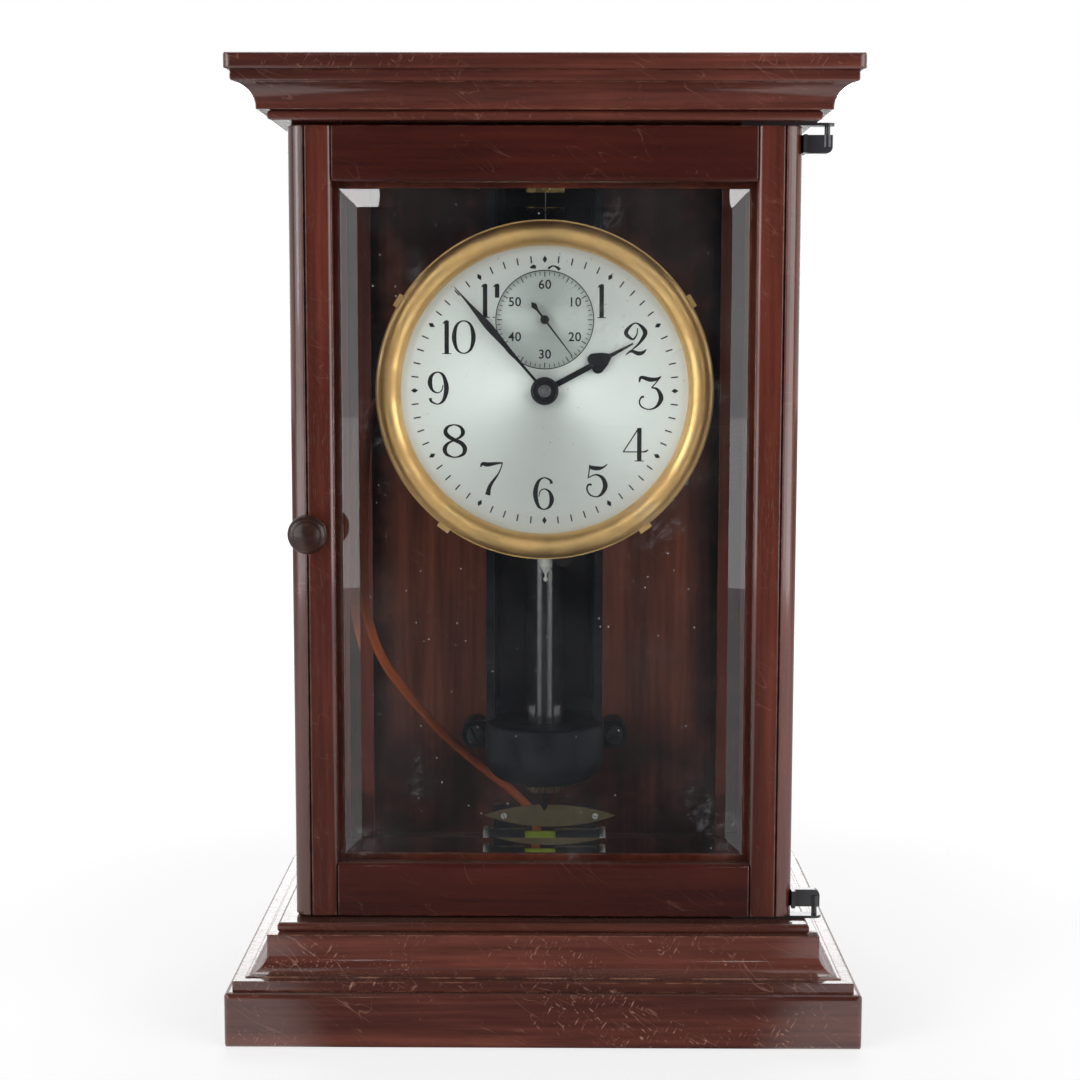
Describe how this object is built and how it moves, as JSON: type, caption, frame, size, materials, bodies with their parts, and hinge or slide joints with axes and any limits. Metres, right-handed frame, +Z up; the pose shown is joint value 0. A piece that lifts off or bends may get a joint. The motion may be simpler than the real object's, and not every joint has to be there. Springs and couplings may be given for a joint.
{
  "type": "mantel clock",
  "caption": "Glazed mahogany mantel clock with a hinged bevelled door, moulded base and cornice, silvered dial and a battery-driven half-seconds pendulum on a black cast column.",
  "frame": {"origin": "middle of the base's underside, on the surface the clock stands on", "axes": "+Z up, -Y towards the dial and door, +X to the right of the dial, on the hinge side"},
  "size_m": [0.274, 0.22, 0.42],
  "materials": {
    "mahogany": "French polished, gloss",
    "mahogany_dark": "French polished, darker mouldings",
    "mahogany_back": "satin",
    "plain_wood": "unpolished",
    "knob_wood": "gloss",
    "clear_glass": "clear, polished",
    "black_steel": "satin black",
    "bright_steel": "polished",
    "plate_steel": "dull",
    "iron_black": "black enamelled",
    "steel_black": "black enamelled, gloss",
    "brass_gold": "lacquered, satin",
    "brass_plain": "brushed",
    "brass_aged": "tarnished",
    "silvered": "silvered, brushed round",
    "silvered_dull": "silvered, engine turned",
    "nickel_white": "polished nickel",
    "hand_black": "black",
    "ebonite": "moulded, gloss",
    "coil_silk": "silk-covered wire",
    "lead_cloth": "braided cloth",
    "vial_green": "yellow-green spirit",
    "battery_case": "card cover"
  },
  "bodies": {
    "case": {"base_slab": "mahogany", "base_cove": "mahogany_dark", "floor_board": "mahogany", "base_cover": "plain_wood", "dry_battery": "battery_case", "corner_posts": "mahogany_dark", "side_rails": "mahogany", "side_glass_left": "clear_glass", "side_glass_right": "clear_glass", "back_board": "mahogany_back", "top_board": "mahogany", "cornice_moulding": "mahogany_dark", "cornice_cap": "mahogany", "hinge_plates": "plate_steel", "strike_plate": "brass_plain", "fixing_screws": "bright_steel", "column": "iron_black", "front_plate": "brass_plain", "back_plate": "brass_plain", "plate_pillars": "brass_plain", "dial_plate": "silvered", "seconds_dial": "silvered_dull", "bezel": "brass_gold", "bezel_clips": "brass_gold", "suspension_block": "brass_gold", "magnet_yoke": "plate_steel", "magnet_coils": "coil_silk", "beat_index": "nickel_white", "terminal_block": "ebonite", "level_body": "steel_black", "level_vial": "vial_green", "beat_plate": "brass_aged", "lead": "lead_cloth"},
    "door": {"door_stile_left": "mahogany", "door_stile_right": "mahogany", "door_rail_top": "mahogany", "door_rail_bottom": "mahogany", "door_glass": "clear_glass", "glazing_beads": "mahogany_dark", "hinge_straps": "black_steel", "door_knob": "knob_wood", "catch_barrel": "brass_plain"},
    "catch": {"catch_bolt": "bright_steel"},
    "pendulum": {"suspension_spring": "bright_steel", "pendulum_tube": "steel_black"},
    "bob_mass": {"bob": "steel_black"},
    "nut": {"rating_nut": "brass_plain"},
    "seconds_arbor": {"count_wheel": "brass_plain", "seconds_hand": "hand_black"},
    "intermediate_arbor": {"intermediate_wheel": "brass_plain"},
    "centre_arbor": {"centre_wheel": "brass_plain", "minute_hand": "hand_black"},
    "minute_work": {"minute_wheel": "brass_plain"},
    "hour_work": {"hour_wheel": "brass_plain", "hour_hand": "hand_black"},
    "armature_lever": {"armature": "plate_steel"},
    "gravity_lever": {"gravity_arm": "brass_plain"},
    "pawl": {"gathering_pawl": "bright_steel"},
    "click": {"backstop_click": "bright_steel"}
  },
  "joints": [
    {"name": "door_swing", "type": "hinge", "parent": "case", "child": "door", "pos_m": [0.12, -0.0765, 0.05], "axis": [0, 0, 1], "range_deg": [0, 170]},
    {"name": "catch_press", "type": "slide", "parent": "door", "child": "catch", "axis": [0, -1, 0], "range_m": [0, 0.0013], "stiffness_N_per_m": 200, "springref_m": -0.004},
    {"name": "pendulum_swing", "type": "hinge", "parent": "case", "child": "pendulum", "pos_m": [0, 0.0175, 0.368], "axis": [0, 1, 0], "range_deg": [-2, 2]},
    {"name": "bob_height", "type": "slide", "parent": "pendulum", "child": "bob_mass", "axis": [0, 0, 1], "range_m": [-0.0016, 0.0016]},
    {"name": "rating_nut_turn", "type": "hinge", "parent": "bob_mass", "child": "nut", "pos_m": [0, 0.0175, 0.086], "axis": [0, 0, 1], "range_deg": [-720, 720]},
    {"name": "seconds_turn", "type": "hinge", "parent": "case", "child": "seconds_arbor", "pos_m": [0, -0.019, 0.3118], "axis": [0, 1, 0], "continuous": true},
    {"name": "intermediate_turn", "type": "hinge", "parent": "case", "child": "intermediate_arbor", "pos_m": [0.00731, -0.019, 0.29645], "axis": [0, 1, 0], "continuous": true},
    {"name": "minute_turn", "type": "hinge", "parent": "case", "child": "centre_arbor", "pos_m": [0, -0.019, 0.28], "axis": [0, 1, 0], "continuous": true},
    {"name": "minute_work_turn", "type": "hinge", "parent": "case", "child": "minute_work", "pos_m": [-0.012, -0.03, 0.28], "axis": [0, 1, 0], "continuous": true},
    {"name": "hour_turn", "type": "hinge", "parent": "case", "child": "hour_work", "pos_m": [0, -0.034, 0.28], "axis": [0, 1, 0], "continuous": true},
    {"name": "armature_pull", "type": "hinge", "parent": "case", "child": "armature_lever", "pos_m": [0.0335, 0.0175, 0.272], "axis": [0, 1, 0], "range_deg": [0, 3], "stiffness_Nm_per_rad": 0.01, "springref_deg": -17.19},
    {"name": "gravity_lift", "type": "hinge", "parent": "case", "child": "gravity_lever", "pos_m": [0.0335, 0.0175, 0.2994], "axis": [0, 1, 0], "range_deg": [0, 4]},
    {"name": "pawl_lift", "type": "hinge", "parent": "pendulum", "child": "pawl", "pos_m": [0.015, -0.0023, 0.3292], "axis": [0, 1, 0], "range_deg": [0, 8]},
    {"name": "click_lift", "type": "hinge", "parent": "case", "child": "click", "pos_m": [-0.017, -0.0037, 0.3208], "axis": [0, -1, 0], "range_deg": [0, 10]}
  ],
  "couplings": [
    {"joint": "intermediate_turn", "follows": "seconds_turn", "ratio": -0.13333},
    {"joint": "minute_turn", "follows": "seconds_turn", "ratio": 0.016667},
    {"joint": "minute_work_turn", "follows": "seconds_turn", "ratio": -0.0055556},
    {"joint": "hour_turn", "follows": "seconds_turn", "ratio": 0.0013889},
    {"joint": "rating_nut_turn", "follows": "bob_height", "rad_per_m": 7854}
  ]
}
